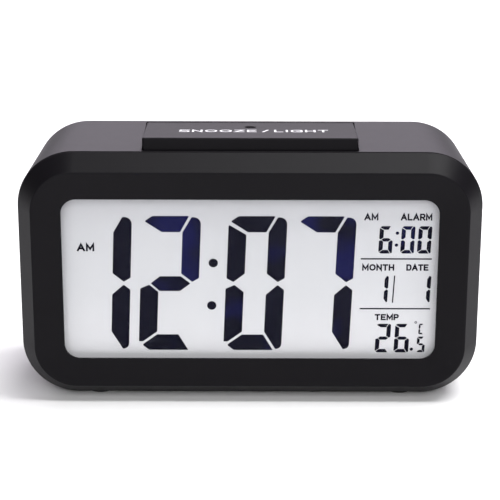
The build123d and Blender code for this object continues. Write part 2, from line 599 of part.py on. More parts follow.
with BuildPart() as snooze_switch:
    with BuildSketch(level(SENSOR_BOARD_DROP)):
        with Locations((0, SNOOZE_DEPTH)):
            Rectangle(SWITCH_SIDE, SWITCH_SIDE)
    extrude(amount=SENSOR_BOARD_DROP - SNOOZE_BODY_DROP)
    with BuildSketch(level(SNOOZE_BODY_DROP)):
        with Locations((0, SNOOZE_DEPTH)):
            Circle(PLUNGER_R + PLUNGER_GAP)
    extrude(amount=-SNOOZE_BORE, mode=Mode.SUBTRACT)
save(snooze_switch.part, "snooze_switch")

with BuildPart() as snooze_plunger:
    with BuildSketch(level(SNOOZE_TOP_DROP)):
        with Locations((0, SNOOZE_DEPTH)):
            Circle(PLUNGER_R)
    extrude(amount=-SNOOZE_PLUNGER_L)
save(snooze_plunger.part, "snooze_plunger")

with BuildPart() as light_sensor:
    with BuildSketch(level(SENSOR_BOARD_DROP)):
        with Locations((0, SENSOR_DEPTH)):
            Circle(LIGHT_SENSOR_R)
    extrude(amount=LIGHT_SENSOR_H)
    fillet(light_sensor.edges().group_by(Axis.Z)[-1], 1.2)
save(light_sensor.part, "light_sensor")

# ---------------------------------------------------------------- keys and sliders on the back
with BuildPart() as key_board:
    with BuildSketch(REAR.offset(KEY_BOARD_FACE)):
        with Locations((0, KEY_V)):
            RectangleRounded(KEY_BOARD_W, KEY_BOARD_H, BOARD_R)
        with Locations(*KEY_POSTS):
            Circle(CLEAR_R, mode=Mode.SUBTRACT)
    extrude(amount=KEY_BOARD_BACK - KEY_BOARD_FACE)
save(key_board.part, "key_board")

with BuildPart() as key_switches:
    with BuildSketch(REAR.offset(KEY_BOARD_FACE)):
        with Locations(*KEY_POINTS):
            Rectangle(SWITCH_SIDE, SWITCH_SIDE)
    extrude(amount=SWITCH_TOP - KEY_BOARD_FACE)
    with BuildSketch(REAR.offset(SWITCH_TOP)):
        with Locations(*KEY_POINTS):
            Circle(PLUNGER_R + PLUNGER_GAP)
    extrude(amount=-KEY_BORE, mode=Mode.SUBTRACT)
save(key_switches.part, "key_switches")

BACK_AXIS = Axis(REAR.origin, REAR.z_dir)
for key, key_u in KEYS.items():
    with BuildPart() as key_cap:
        with BuildSketch(REAR.offset(KEY_BOTTOM)):
            with Locations((key_u, KEY_V)):
                Circle(KEY_FLANGE_R)
        extrude(amount=KEY_FLANGE_TOP - KEY_BOTTOM)
        with BuildSketch(REAR.offset(KEY_BOTTOM)):
            with Locations((key_u, KEY_V)):
                Circle(KEY_R)
        extrude(amount=KEY_RISE - KEY_BOTTOM)
        fillet(key_cap.edges().sort_by(BACK_AXIS)[-1], 0.5)
    save(key_cap.part, f"{key}_key")
    with BuildPart() as key_plunger:
        with BuildSketch(REAR.offset(KEY_BOTTOM)):
            with Locations((key_u, KEY_V)):
                Circle(PLUNGER_R)
        extrude(amount=-PLUNGER_L)
    save(key_plunger.part, f"{key}_key_plunger")

for slider, slider_u in SLIDERS.items():
    with BuildPart() as slider_frame:
        with BuildSketch(REAR.offset(KEY_BOARD_FACE)):
            with Locations((slider_u, KEY_V)):
                Rectangle(FRAME_L, FRAME_H)
        extrude(amount=FRAME_TOP - KEY_BOARD_FACE)
        with BuildSketch(REAR.offset(FRAME_TOP)):
            with Locations((slider_u, KEY_V)):
                Rectangle(TOE_L + SLIDER_TRAVEL + 0.3, TOE_H + 0.3)
        extrude(amount=-2.2, mode=Mode.SUBTRACT)
    save(slider_frame.part, f"{slider}_switch_frame")
    rest_u = slider_u - SLIDER_TRAVEL / 2
    with BuildPart() as slider_knob:
        with BuildSketch(REAR.offset(SLIDER_FLOOR)):
            with Locations((rest_u, KEY_V)):
                Rectangle(KNOB_BASE_L, KNOB_BASE_H)
        extrude(amount=KNOB_BASE_T)
        with BuildSketch(REAR.offset(SLIDER_FLOOR)):
            with Locations((rest_u, KEY_V)):
                RectangleRounded(KNOB_L, KNOB_H, 0.4)
        extrude(amount=KNOB_RISE - SLIDER_FLOOR)
        with BuildSketch(REAR.offset(SLIDER_FLOOR)):
            with Locations((rest_u, KEY_V)):
                Rectangle(TOE_L, TOE_H)
        extrude(amount=-TOE_DEPTH)
        with BuildSketch(REAR.offset(KNOB_RISE)):
            with Locations((rest_u, KEY_V)):
                with GridLocations(1.0, 1, 3, 1):
                    Rectangle(KNOB_GROOVE, KNOB_H)
        extrude(amount=-KNOB_GROOVE, mode=Mode.SUBTRACT)
    save(slider_knob.part, f"{slider}_slider")

make_screws(
    "key_board_screws",
    Plane(origin=REAR.offset(KEY_BOARD_BACK).origin, x_dir=(1, 0, 0), z_dir=-REAR.z_dir),
    [(-u, v) for u, v in KEY_POSTS],
    BOARD_SCREW_LENGTH,
    BOARD_HEAD_R,
)
SENSOR_BOARD_UNDER = Plane(
    origin=level(SENSOR_BOARD_DROP + SENSOR_BOARD_T).origin, x_dir=(1, 0, 0), z_dir=(0, 0, -1)
)
make_screws(
    "sensor_board_screws",
    SENSOR_BOARD_UNDER,
    [(x, -depth) for x, depth in SENSOR_POSTS],
    BOARD_SCREW_LENGTH,
    BOARD_HEAD_R,
)

# ---------------------------------------------------------------- ribbon cables between the boards
# Each ribbon has a left edge, a width and a route: (depth, height) points from the main board.
RIBBON_T, RIBBON_BEND = 0.8, 1.6
KEY_RIBBON_V, KEY_RIBBON_OUT = KEY_V + 2.5, 3.0
SAG = 4.0  # the key ribbon hangs in a loop this deep
KEY_END = on_back(0, KEY_RIBBON_V, KEY_BOARD_BACK)
KEY_END_OUT = on_back(0, KEY_RIBBON_V, KEY_BOARD_BACK - KEY_RIBBON_OUT)
KEY_ROUTE = [
    (BOARD[1], KEY_END.Z),
    (BOARD[1] + 3.5, KEY_END.Z),
    (BOARD[1] + 6.0, KEY_END.Z - SAG),
    (KEY_END_OUT.Y - FRONT_Y - 2.5, KEY_END_OUT.Z - SAG),
    (KEY_END_OUT.Y - FRONT_Y, KEY_END_OUT.Z),
    (KEY_END.Y - FRONT_Y, KEY_END.Z),
]
SENSOR_UNDER = TOP_Z - SENSOR_BOARD_DROP - SENSOR_BOARD_T
SENSOR_RIBBON_DROP, SENSOR_RIBBON_DEPTH = 4.5, 10.5
SENSOR_ROUTE = [
    (BOARD[1], SENSOR_UNDER - SENSOR_RIBBON_DROP),
    (BOARD[1] + SENSOR_RIBBON_DEPTH, SENSOR_UNDER - SENSOR_RIBBON_DROP),
    (BOARD[1] + SENSOR_RIBBON_DEPTH, SENSOR_UNDER),
]
RIBBONS = {"key_ribbon": (-20.0, 12.0, KEY_ROUTE), "sensor_ribbon": (8.0, 8.0, SENSOR_ROUTE)}
for label, (left, width, route) in RIBBONS.items():
    with BuildPart() as ribbon:
        with BuildSketch(side(left)):
            with BuildLine():
                FilletPolyline(*route, radius=RIBBON_BEND)
            trace(line_width=RIBBON_T)
        extrude(amount=width)
    save(ribbon.part, label)

# ---------------------------------------------------------------- sounder and thermometer
for label, top_w, thickness, radius in (
    ("sounder_disc", SOUNDER_TOP, SOUNDER_T, SOUNDER_R),
    ("sounder_ceramic", SOUNDER_TOP - SOUNDER_T, CERAMIC_T, SOUNDER_R - 3.5),
):
    with BuildPart() as sounder:
        with BuildSketch(REAR.offset(top_w)):
            with Locations((SOUNDER_U, SOUNDER_V)):
                Circle(radius)
        extrude(amount=-thickness)
    save(sounder.part, label)

with BuildPart() as thermistor:
    with BuildSketch(REAR.offset(KEY_BOARD_FACE)):
        with Locations((VENT_U, KEY_V - THERMISTOR_DROP)):
            Circle(THERMISTOR_R)
    extrude(amount=THERMISTOR_H)
    fillet(thermistor.edges(), 0.6)
save(thermistor.part, "thermistor")

# ---------------------------------------------------------------- battery door, cells and contacts
with BuildPart() as battery_door:
    with BuildSketch(REAR.offset(-DOOR_T)):
        with Locations((0, BAY_V + DOOR_T / 4)):
            Rectangle(DOOR_W, DOOR_H - DOOR_T / 2)
    extrude(amount=DOOR_T)
    door_face = battery_door.faces().sort_by(BACK_AXIS)[-1]
    chamfer(door_face.edges().filter_by(Axis.X).sort_by(Axis.Z)[-1], EDGE_R)
    with BuildSketch(across_back(-DOOR_W / 2, DOOR_HINGE_V, -DOOR_T / 2)):
        Circle(DOOR_T / 2)
    extrude(amount=DOOR_W)
    with BuildSketch(across_back(-DOOR_W / 2 - DOOR_PIN_L, DOOR_HINGE_V, -DOOR_T / 2)):
        Circle(DOOR_PIN_R)
    extrude(amount=DOOR_W + 2 * DOOR_PIN_L)
    with BuildSketch(REAR):
        with Locations((0, BAY_V + DOOR_H / 2)):
            RectangleRounded(FINGER_W - 2.0, FINGER_H, FINGER_R)
    extrude(amount=-FINGER_DEPTH, mode=Mode.SUBTRACT)
    with BuildSketch(REAR):
        with Locations((0, BAY_V + DOOR_H / 2 - GRIP_DROP)):
            with GridLocations(1, GRIP_PITCH, 1, 4):
                SlotOverall(GRIP_W, GRIP_H)
    extrude(amount=-GRIP_DEPTH, mode=Mode.SUBTRACT)
save(battery_door.part, "battery_door")

CELL_SPAN = BAY_W / 2 - PLATE_T  # from the middle of the bay to a contact plate
for number, (cell_v, end) in enumerate(zip(CELL_ROWS, CELL_ENDS), start=1):
    can = across_back(end * (CELL_SPAN - NUB_L), cell_v, CELL_W)
    with BuildPart() as battery:
        with BuildSketch(can):
            Circle(CELL_R)
        extrude(amount=-end * CELL_L)
        fillet(battery.edges(), 0.5)
        with BuildSketch(can):
            Circle(NUB_R)
        extrude(amount=end * NUB_L)
    save(battery.part, f"battery_{number}")

with BuildPart() as contact_plates:
    for end, lone_v in LONE_CELLS:
        paired_v = CELL_ROWS[1] + end * CELL_PITCH / 2
        with BuildSketch(across_back(end * CELL_SPAN, lone_v, CELL_W)):
            Rectangle(CONTACT_SIDE, CONTACT_SIDE)
        extrude(amount=end * PLATE_T)
        with BuildSketch(across_back(end * CELL_SPAN, paired_v, CELL_W)):
            Rectangle(CONTACT_SIDE + CELL_PITCH, CONTACT_SIDE)
        extrude(amount=end * PLATE_T)
save(contact_plates.part, "contact_plates")

for label, (end, lone_v) in zip(("positive_lead", "negative_lead"), LONE_CELLS):
    plate_point = on_back(end * BAY_W / 2, lone_v, CELL_W)
    corner = on_back(end * (BAY_W / 2 + LEAD_OUT), lone_v, CELL_W)
    board_point = Vector(corner.X, FRONT_Y + BOARD[1], corner.Z)
    with BuildPart() as lead:
        with BuildLine():
            route = FilletPolyline(plate_point, corner, board_point, radius=0.45 * LEAD_OUT)
        with BuildSketch(across_back(end * BAY_W / 2, lone_v, CELL_W)):
            Circle(LEAD_R)
        sweep(path=route)
    save(lead.part, label)

SPRING_GAP = 2 * CELL_SPAN - CELL_L - NUB_L
with BuildPart() as battery_springs:
    for cell_v, end in zip(CELL_ROWS, CELL_ENDS):
        start = on_back(-end * (CELL_SPAN - WIRE_R - SPRING_PLAY), cell_v, CELL_W)
        height = SPRING_GAP - 2 * (WIRE_R + SPRING_PLAY)
        with BuildLine():
            coil = Helix(height / SPRING_TURNS, height, SPRING_R, start, REAR.x_dir * end)
        with BuildSketch(Plane(origin=coil @ 0, z_dir=coil % 0)):
            Circle(WIRE_R)
        sweep(path=coil)
save(battery_springs.part, "battery_springs")
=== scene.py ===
import json
import math

import bmesh
import bpy
from mathutils import Matrix, Vector


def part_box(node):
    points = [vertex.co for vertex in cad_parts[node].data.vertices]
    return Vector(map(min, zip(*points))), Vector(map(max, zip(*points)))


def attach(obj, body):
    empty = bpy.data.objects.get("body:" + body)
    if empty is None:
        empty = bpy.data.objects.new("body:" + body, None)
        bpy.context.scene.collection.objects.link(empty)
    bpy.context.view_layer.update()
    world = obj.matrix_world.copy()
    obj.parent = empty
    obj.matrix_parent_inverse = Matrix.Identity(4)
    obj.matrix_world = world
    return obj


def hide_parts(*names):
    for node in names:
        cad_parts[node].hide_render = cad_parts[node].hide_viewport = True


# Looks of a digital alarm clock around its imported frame. Metres, the display faces -Y, +Z is up.
# Artwork on the display is laid out in millimetres from the middle of the front face.

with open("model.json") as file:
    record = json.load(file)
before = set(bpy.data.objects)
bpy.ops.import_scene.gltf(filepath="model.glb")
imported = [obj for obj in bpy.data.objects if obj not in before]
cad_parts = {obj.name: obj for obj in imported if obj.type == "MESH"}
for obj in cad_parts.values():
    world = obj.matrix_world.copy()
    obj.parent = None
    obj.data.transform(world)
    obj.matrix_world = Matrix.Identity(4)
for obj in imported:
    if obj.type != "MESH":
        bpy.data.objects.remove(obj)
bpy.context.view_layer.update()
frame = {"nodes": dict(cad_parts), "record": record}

MM = 0.001
BEZEL_LOW, BEZEL_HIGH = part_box("front_bezel")
FACE = Vector(((BEZEL_LOW.x + BEZEL_HIGH.x) / 2, BEZEL_LOW.y, (BEZEL_LOW.z + BEZEL_HIGH.z) / 2))

# Camera: it stands in front of the clock and looks down at it
CAMERA_ELEVATION = math.radians(19.88)
CAMERA_ROLL = math.radians(0.15)
CAMERA_DISTANCE = 0.5547
CAMERA_DROP = -0.00926
CAMERA_LENS = 137.34

# Materials
TRACK_SPACING, TRACK_HEIGHT = 9 * MM, 0.03 * MM
STRIPE_HEIGHT = 0.08 * MM
CLOUD_SIZE, CLOUD_SHARE = 38 * MM, 0.12  # soft unevenness of the display's background

# Display artwork
DIGIT_SLANT = math.tan(math.radians(2.2))
DIGIT_W, DIGIT_H, DIGIT_STROKE, DIGIT_BAR = 17.05, 42.05, 5.3, 4.95
DIGIT_BASE = -23.6
DIGIT_PITCH, COLON_SPACE = 20.1, 5.0
COLON_DOTS, COLON_R = ((-11.24, -9.4), (-10.74, 3.95)), 1.37
HOURS_LEFT = -52.95
# Sizes of the panel's digits: width, height, upright stroke, level stroke
ALARM_SIZE = (3.95, 8.45, 1.22, 1.1)
DATE_SIZE = (3.95, 8.4, 1.15, 1.05)
DEGREES_SIZE = (4.35, 9.15, 1.25, 1.1)
TENTHS_SIZE = (2.4, 5.0, 0.8, 0.7)
UNIT_SIZE = (1.55, 3.35, 0.5, 0.46)
PANEL_DOT_R = 0.5
PANEL_LEFT, PANEL_RIGHT, PANEL_LINE = 32.4, 53.15, 0.42  # ends and thickness of the lines across it
PRINT_T = 0.02 * MM
PANE_GAP = 0.03 * MM  # keeps the faces of neighbouring panes apart
PANE_R, PANE_EDGE = 1.0 * MM, 0.05 * MM  # corners and ground edges of the panes
SHARPEST_MITRE = 0.35  # stops the corners of strokes from growing long points


# ---------------------------------------------------------------- materials
class Finish:
    """A material under construction: one Principled shader and the nodes that feed it."""

    def __init__(self, name):
        self.material = bpy.data.materials.new(name)
        self.material.use_nodes = True
        self.nodes = self.material.node_tree.nodes
        self.links = self.material.node_tree.links
        self.shader = self.nodes["Principled BSDF"]
        self.place = self.nodes.new("ShaderNodeTexCoord").outputs["Object"]

    def set(self, **values):
        """Sets sockets of the shader, named with underscores for spaces."""
        for key, value in values.items():
            self.shader.inputs[key.replace("_", " ")].default_value = value
        return self

    def join(self, output, socket):
        self.links.new(output, self.shader.inputs[socket])
        return self

    def noise(self, size, detail=3.0, stretch=(1, 1, 1)):
        """Noise whose blobs are about size metres across, stretched along the axes."""
        mapping = self.nodes.new("ShaderNodeMapping")
        mapping.inputs["Scale"].default_value = [s / size for s in stretch]
        self.links.new(self.place, mapping.inputs["Vector"])
        texture = self.nodes.new("ShaderNodeTexNoise")
        texture.inputs["Scale"].default_value = 1.0
        texture.inputs["Detail"].default_value = detail
        texture.inputs["Roughness"].default_value = 0.5
        self.links.new(mapping.outputs["Vector"], texture.inputs["Vector"])
        return texture.outputs["Fac"]

    def ramp(self, output, stops, mode="LINEAR"):
        """Colours by value: stops is a list of (position, colour)."""
        node = self.nodes.new("ShaderNodeValToRGB")
        node.color_ramp.interpolation = mode
        elements = node.color_ramp.elements
        while len(elements) < len(stops):
            elements.new(0.5)
        for element, (position, colour) in zip(elements, stops):
            element.position = position
            element.color = (*colour, 1.0)
        self.links.new(output, node.inputs["Fac"])
        return node.outputs["Color"]

    def spread(self, output, low, high, start=0.3, end=0.7):
        """Maps a value from start..end to low..high."""
        node = self.nodes.new("ShaderNodeMapRange")
        node.inputs["From Min"].default_value = start
        node.inputs["From Max"].default_value = end
        node.inputs["To Min"].default_value = low
        node.inputs["To Max"].default_value = high
        self.links.new(output, node.inputs["Value"])
        return node.outputs["Result"]

    def bump(self, output, depth):
        """Bumps the surface by a height of depth metres."""
        node = self.nodes.new("ShaderNodeBump")
        node.inputs["Strength"].default_value = 1.0
        node.inputs["Distance"].default_value = depth
        self.links.new(output, node.inputs["Height"])
        return self.join(node.outputs["Normal"], "Normal")


def shade(colour, factor):
    """A colour made lighter or darker."""
    return tuple(min(1.0, part * factor) for part in colour)


def moulded(name, colour, rough, grain=0.35, depth=0.02, vary=0.12, uneven=0.02, **values):
    """Moulded plastic or rubber: an even colour, a fine spark-eroded grain and slightly uneven gloss."""
    finish = Finish(name).set(**values)
    clouds = finish.noise(9 * MM, 4.0)
    tones = [(0.3, shade(colour, 1 - vary)), (0.7, shade(colour, 1 + vary))]
    finish.join(finish.ramp(clouds, tones), "Base Color")
    finish.join(finish.spread(finish.noise(3 * MM, 5.0), rough - uneven, rough + uneven), "Roughness")
    return finish.bump(finish.noise(grain * MM, 2.0), depth * MM).material


def metal(name, colour, rough, stretch=(1, 1, 1), depth=0.006):
    """Bare or plated metal with drawing marks along one axis."""
    finish = Finish(name).set(Metallic=1.0)
    marks = finish.noise(0.5 * MM, 4.0, stretch=stretch)
    tones = [(0.3, shade(colour, 0.86)), (0.7, shade(colour, 1.06))]
    finish.join(finish.ramp(marks, tones), "Base Color")
    finish.join(finish.spread(finish.noise(4 * MM), rough - 0.07, rough + 0.09), "Roughness")
    return finish.bump(marks, depth * MM).material


def see_through(name, colour, rough, cover):
    """A clear pane: mostly open, with a share of its surface shaded."""
    finish = Finish(name)
    haze = finish.noise(8 * MM, 2.0)
    finish.join(finish.ramp(haze, [(0.35, shade(colour, 0.97)), (0.65, colour)]), "Base Color")
    finish.join(finish.spread(finish.noise(1.5 * MM), rough - 0.02, rough + 0.02), "Roughness")
    opening = finish.nodes.new("ShaderNodeBsdfTransparent")
    mix = finish.nodes.new("ShaderNodeMixShader")
    mix.inputs["Fac"].default_value = cover
    finish.links.new(opening.outputs["BSDF"], mix.inputs[1])
    finish.links.new(finish.shader.outputs["BSDF"], mix.inputs[2])
    finish.links.new(mix.outputs["Shader"], finish.nodes["Material Output"].inputs["Surface"])
    return finish.material


def circuit_board():
    """Green solder mask with copper tracks showing through it."""
    finish = Finish("circuit_board").set(Coat_Weight=0.3, Coat_Roughness=0.2)
    brick = finish.nodes.new("ShaderNodeTexBrick")
    brick.inputs["Scale"].default_value = 1 / TRACK_SPACING
    brick.inputs["Mortar Size"].default_value = 0.05
    brick.inputs["Color1"].default_value = (0.012, 0.10, 0.035, 1)
    brick.inputs["Color2"].default_value = (0.015, 0.13, 0.05, 1)
    brick.inputs["Mortar"].default_value = (0.04, 0.27, 0.10, 1)
    swap = finish.nodes.new("ShaderNodeMapping")
    swap.inputs["Rotation"].default_value = (math.radians(90), 0, 0)
    finish.links.new(finish.place, swap.inputs["Vector"])
    finish.links.new(swap.outputs["Vector"], brick.inputs["Vector"])
    finish.join(brick.outputs["Color"], "Base Color")
    finish.join(finish.spread(finish.noise(2 * MM), 0.3, 0.42), "Roughness")
    return finish.bump(brick.outputs["Fac"], -TRACK_HEIGHT).material


def striped(name, axis, period, colours, rough):
    """Layers or wires side by side: two colours in turn along an axis."""
    finish = Finish(name)
    mapping = finish.nodes.new("ShaderNodeMapping")
    finish.links.new(finish.place, mapping.inputs["Vector"])
    wave = finish.nodes.new("ShaderNodeTexWave")
    wave.bands_direction = axis
    wave.inputs["Scale"].default_value = math.pi / 10 / period  # Blender's wave repeats every pi / 10
    finish.links.new(mapping.outputs["Vector"], wave.inputs["Vector"])
    finish.join(finish.ramp(wave.outputs["Fac"], [(0.2, colours[0]), (0.6, colours[1])]), "Base Color")
    finish.join(finish.spread(finish.noise(2 * MM), rough - 0.05, rough + 0.05), "Roughness")
    return finish.bump(wave.outputs["Fac"], STRIPE_HEIGHT).material


def jacket(node):
    """A plain two-tone battery jacket, with bare steel at both ends."""
    low, high = (corner.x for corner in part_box(node))
    finish = Finish("jacket_" + node).set(Metallic=0.5)
    split = finish.nodes.new("ShaderNodeSeparateXYZ")
    finish.links.new(finish.place, split.inputs["Vector"])
    along = finish.spread(split.outputs["X"], 0, 1, low, high)
    green, grey, steel = (0.03, 0.22, 0.10), (0.30, 0.31, 0.33), (0.62, 0.62, 0.62)
    bands = [(0.0, steel), (0.035, grey), (0.78, green), (0.955, steel)]
    if node in LEFT_CELLS:
        bands = [(0.0, steel), (0.045, green), (0.22, grey), (0.965, steel)]
    finish.join(finish.ramp(along, bands, "CONSTANT"), "Base Color")
    finish.join(finish.spread(finish.noise(3 * MM), 0.26, 0.36), "Roughness")
    return finish.material


def liquid_crystal():
    """The pale background of the display: a soft pearly grey, with painted shade towards its top edge and
    painted light towards its lower edge.
    """
    finish = Finish("display_background_painted_shade").set(Specular_IOR_Level=0.15)
    split = finish.nodes.new("ShaderNodeSeparateXYZ")
    finish.links.new(finish.place, split.inputs["Vector"])
    low, high = (corner.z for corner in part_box("lcd_rear_glass"))
    # Painted shade: darker towards the top of the display, where the window's upper lip shades it, and
    # painted light towards its lower edge; the clouds add random unevenness on top.
    painted_shade_by_height = finish.spread(split.outputs["Z"], 1.0, 0.0, low, high)
    clouds = finish.nodes.new("ShaderNodeMath")
    clouds.operation = "MULTIPLY_ADD"
    clouds.inputs[1].default_value = CLOUD_SHARE
    finish.links.new(finish.noise(CLOUD_SIZE, 2.0), clouds.inputs[0])
    finish.links.new(painted_shade_by_height, clouds.inputs[2])
    finish.join(finish.ramp(clouds.outputs["Value"], DISPLAY_TONES_AND_PAINTED_SHADE), "Base Color")
    finish.join(finish.spread(finish.noise(5 * MM), 0.5, 0.6), "Roughness")
    return finish.bump(finish.noise(0.12 * MM, 1.0), 0.004 * MM).material


def segment_ink(name, start):
    """Dark liquid crystal segments: nearly black, and bluer where a soft noise passes start."""
    finish = Finish(name).set(Specular_IOR_Level=0.08)
    patches = finish.noise(14 * MM, 2.0)
    stops = [(start, (0.0032, 0.0030, 0.0115)), (start + 0.2, (0.006, 0.0065, 0.058))]
    finish.join(finish.ramp(patches, stops), "Base Color")
    finish.join(finish.spread(finish.noise(3 * MM), 0.45, 0.6), "Roughness")
    return finish.material


LEFT_CELLS = ("battery_1", "battery_3")
DISPLAY_TONES_AND_PAINTED_SHADE = [  # painted shade and light: from the darker, shaded top of the display to its lighter lower edge
    (0.04, (0.52, 0.522, 0.55)),
    (0.30, (0.66, 0.667, 0.695)),
    (0.65, (0.70, 0.708, 0.735)),
    (1.0, (0.80, 0.80, 0.83)),
]
MATERIALS = {
    "black_case": moulded(
        "black_case", (0.0042, 0.0036, 0.0050), 0.45, 0.30, 0.012, 0.05, 0.006, Specular_IOR_Level=0.10
    ),
    "black_keys": moulded("black_keys", (0.022, 0.022, 0.024), 0.40, 0.25, 0.010),
    "clear_lens": see_through("clear_lens", (0.03, 0.03, 0.035), 0.12, 0.015),
    "display_glass": see_through("display_glass", (0.04, 0.05, 0.05), 0.08, 0.01),
    "polarizer": see_through("polarizer", (0.60, 0.62, 0.64), 0.30, 0.03),
    "light_guide": moulded("light_guide", (0.80, 0.84, 0.86), 0.12, 0.9, 0.02, 0.03),
    "white_plastic": moulded("white_plastic", (0.78, 0.78, 0.75), 0.42, 0.4, 0.02, 0.03),
    "white_film": moulded("white_film", (0.85, 0.85, 0.85), 0.35, 0.6, 0.01, 0.02),
    "contact_rubber": striped(
        "contact_rubber", "X", 0.1 * MM, ((0.55, 0.16, 0.15), (0.03, 0.03, 0.03)), 0.6
    ),
    "diode": moulded("diode", (0.85, 0.83, 0.60), 0.3, 0.5, 0.01, 0.06),
    "flex": moulded("flex", (0.55, 0.25, 0.04), 0.28, 0.8, 0.01, 0.10),
    "circuit_board": circuit_board(),
    "black_epoxy": moulded("black_epoxy", (0.012, 0.012, 0.013), 0.18, 2.5, 0.05, 0.2),
    "ribbon_cable": striped(
        "ribbon_cable", "X", 1.0 * MM, ((0.30, 0.31, 0.33), (0.52, 0.54, 0.57)), 0.38
    ),
    "red_wire": moulded("red_wire", (0.50, 0.02, 0.02), 0.35, 0.6, 0.01),
    "black_wire": moulded("black_wire", (0.02, 0.02, 0.02), 0.35, 0.6, 0.01),
    "steel": metal("steel", (0.62, 0.62, 0.63), 0.32),
    "nickel": metal("nickel", (0.70, 0.67, 0.62), 0.25, (1, 6, 6)),
    "capacitor_sleeve": moulded("capacitor_sleeve", (0.02, 0.03, 0.16), 0.25, 1.2, 0.01),
    "ceramic": moulded("ceramic", (0.74, 0.70, 0.62), 0.6, 0.3, 0.02),
    "black_rubber": moulded("black_rubber", (0.018, 0.018, 0.018), 0.75, 0.5, 0.03),
    "smoked_plastic": moulded(
        "smoked_plastic", (0.008, 0.008, 0.009), 0.2, 3.0, 0.01, Specular_IOR_Level=0.3
    ),
    "switch_body": moulded("switch_body", (0.025, 0.025, 0.026), 0.5, 0.4, 0.02),
    "brass": metal("brass", (0.75, 0.55, 0.25), 0.3, (1, 5, 5)),
}
PRINT_WHITE = moulded("print_white", (0.72, 0.72, 0.74), 0.5, 0.2, 0.004, 0.03)
PRINT_GREY = moulded("print_grey", (0.42, 0.42, 0.44), 0.5, 0.2, 0.004, 0.04)
BACKGROUND = liquid_crystal()
SEGMENT_INK = segment_ink("display_segments", 0.60)
BLUE_INK = segment_ink("blue_segments", 0.36)

SLOT_OF = {row["node"]: row["material_slot"] for row in frame["record"]["subparts"]}
for node, thing in frame["nodes"].items():
    slot = SLOT_OF[node]
    thing.data.materials.clear()
    thing.data.materials.append(jacket(node) if slot == "cell_jacket" else MATERIALS[slot])


# ---------------------------------------------------------------- mesh helpers
def rounded(corners, radii, steps=5):
    """A closed outline through the corners, each rounded with its radius."""
    outline = []
    count = len(corners)
    for index, (corner, radius) in enumerate(zip(map(Vector, corners), radii)):
        if radius == 0:
            outline.append(corner)
            continue
        to_last = (Vector(corners[index - 1]) - corner).normalized()
        to_next = (Vector(corners[(index + 1) % count]) - corner).normalized()
        half = to_last.angle(to_next) / 2
        centre = corner + (to_last + to_next).normalized() * radius / math.sin(half)
        start = corner + to_last * radius / math.tan(half) - centre
        end = corner + to_next * radius / math.tan(half) - centre
        turn = start.angle(end)
        for step in range(steps + 1):
            part = turn * step / steps
            arm = start * math.sin(turn - part) + end * math.sin(part)
            outline.append(centre + arm / math.sin(turn))
    return outline


def disc(x, z, radius, steps=24):
    """The outline of a dot."""
    angles = (2 * math.pi * step / steps for step in range(steps))
    return [Vector((x + radius * math.cos(a), z + radius * math.sin(a))) for a in angles]


def bar(left, low, right, high):
    """The outline of an upright rectangle."""
    return [Vector(point) for point in ((left, low), (right, low), (right, high), (left, high))]


def prism(mesh, outline, place, thickness):
    """Adds a plate with this outline: place(x, z, t) puts a point t metres above its surface."""
    base = [mesh.verts.new(place(point.x, point.y, 0.0)) for point in outline]
    face = [mesh.verts.new(place(point.x, point.y, thickness)) for point in outline]
    mesh.faces.new(face)
    mesh.faces.new(list(reversed(base)))
    for index in range(len(outline)):
        after = (index + 1) % len(outline)
        mesh.faces.new((base[index], base[after], face[after], face[index]))


def piece(name, mesh, material, body):
    """Turns a bmesh into a piece that rides on a body."""
    bmesh.ops.recalc_face_normals(mesh, faces=mesh.faces)
    data = bpy.data.meshes.new(name)
    mesh.to_mesh(data)
    mesh.free()
    data.materials.append(material)
    thing = bpy.data.objects.new(name, data)
    bpy.context.scene.collection.objects.link(thing)
    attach(thing, body)
    return thing


def plates(name, outlines, place, thickness, material, body):
    """One piece made of a plate for each outline."""
    mesh = bmesh.new()
    for outline in outlines:
        prism(mesh, outline, place, thickness)
    return piece(name, mesh, material, body)


def ribbon(mesh, points, width, place, thickness, closed=False):
    """Adds a flat stroke of even width along points, with mitred corners and square ends."""
    if not closed:
        first = points[0] + (points[0] - points[1]).normalized() * width / 2
        last = points[-1] + (points[-1] - points[-2]).normalized() * width / 2
        points = [first, *points[1:-1], last]
    count = len(points)
    pairs = []
    for index, point in enumerate(points):
        before = points[index - 1] if index > 0 or closed else point
        after = points[(index + 1) % count] if index < count - 1 or closed else point
        arrive, leave = (point - before), (after - point)
        arrive = arrive.normalized() if arrive.length else leave.normalized()
        leave = leave.normalized() if leave.length else arrive
        tangent = (arrive + leave).normalized()
        across = Vector((-tangent.y, tangent.x))
        reach = width / 2 / max(SHARPEST_MITRE, tangent.dot(arrive))
        pairs.append((point + across * reach, point - across * reach))
    rings = []
    for left, right in pairs:
        corners = ((left, 0.0), (right, 0.0), (right, thickness), (left, thickness))
        rings.append([mesh.verts.new(place(p.x, p.y, t)) for p, t in corners])
    for index in range(count if closed else count - 1):
        here, there = rings[index], rings[(index + 1) % count]
        for side in range(4):
            turn = (side + 1) % 4
            mesh.faces.new((here[side], there[side], there[turn], here[turn]))
    if not closed:
        mesh.faces.new(rings[0])
        mesh.faces.new(list(reversed(rings[-1])))


def lettering(name, captions, place, thickness, material, body):
    """Plain sans capitals drawn with strokes. Each caption is (text, middle, base, cap, width, stroke)."""
    mesh = bmesh.new()
    for text, middle, base, cap, width, stroke in captions:
        advances = [GLYPHS[letter][0] + LETTER_GAP for letter in text]
        scale = (width - stroke) / (sum(advances) - LETTER_GAP)
        left, low, tall = middle - (width - stroke) / 2, base + stroke / 2, cap - stroke
        for letter, advance in zip(text, advances):
            wide = GLYPHS[letter][0] * scale
            for corners, radii, closed in GLYPHS[letter][1]:
                line = [Vector((left + p.x * wide, low + p.y * tall)) for p in rounded(corners, radii)]
                ribbon(mesh, line, stroke, place, thickness, closed)
            left += advance * scale
    return piece(name, mesh, material, body)


